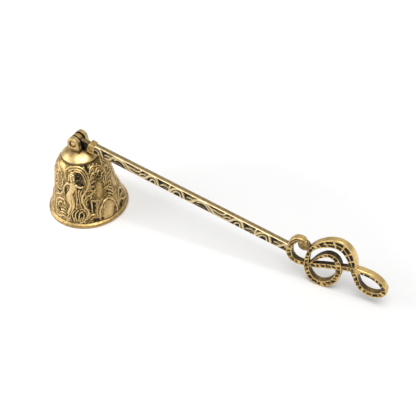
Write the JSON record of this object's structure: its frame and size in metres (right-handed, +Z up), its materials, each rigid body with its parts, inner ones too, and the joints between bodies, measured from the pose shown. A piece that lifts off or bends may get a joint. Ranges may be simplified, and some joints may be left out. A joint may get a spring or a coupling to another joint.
{
  "type": "candle snuffer",
  "caption": "Cast brass candle snuffer: a relief-covered bell on a fork hinge at the end of a slim ornamented handle that ends in an openwork treble clef.",
  "frame": {"origin": "centre of the bell's mouth, on the surface that the lip stands on", "axes": "+Z up the bell's axis, +X along the handle, the hinge pin along Y"},
  "size_m": [0.1709, 0.04, 0.0423],
  "materials": {
    "relief_brass": "antiqued cast relief",
    "polished_brass": "polished",
    "handle_brass": "antiqued cast ornament"
  },
  "bodies": {
    "bell": {"bell": "relief_brass", "hinge_fork": "polished_brass", "fork_screw": "polished_brass", "hinge_pin": "polished_brass"},
    "handle": {"hinge_tang": "handle_brass", "shaft": "handle_brass", "clef": "handle_brass"}
  },
  "joints": [
    {"name": "handle_swing", "type": "hinge", "parent": "bell", "child": "handle", "pos_m": [0, 0, 0.0392], "axis": [0, -1, 0], "range_deg": [0, 201]}
  ]
}
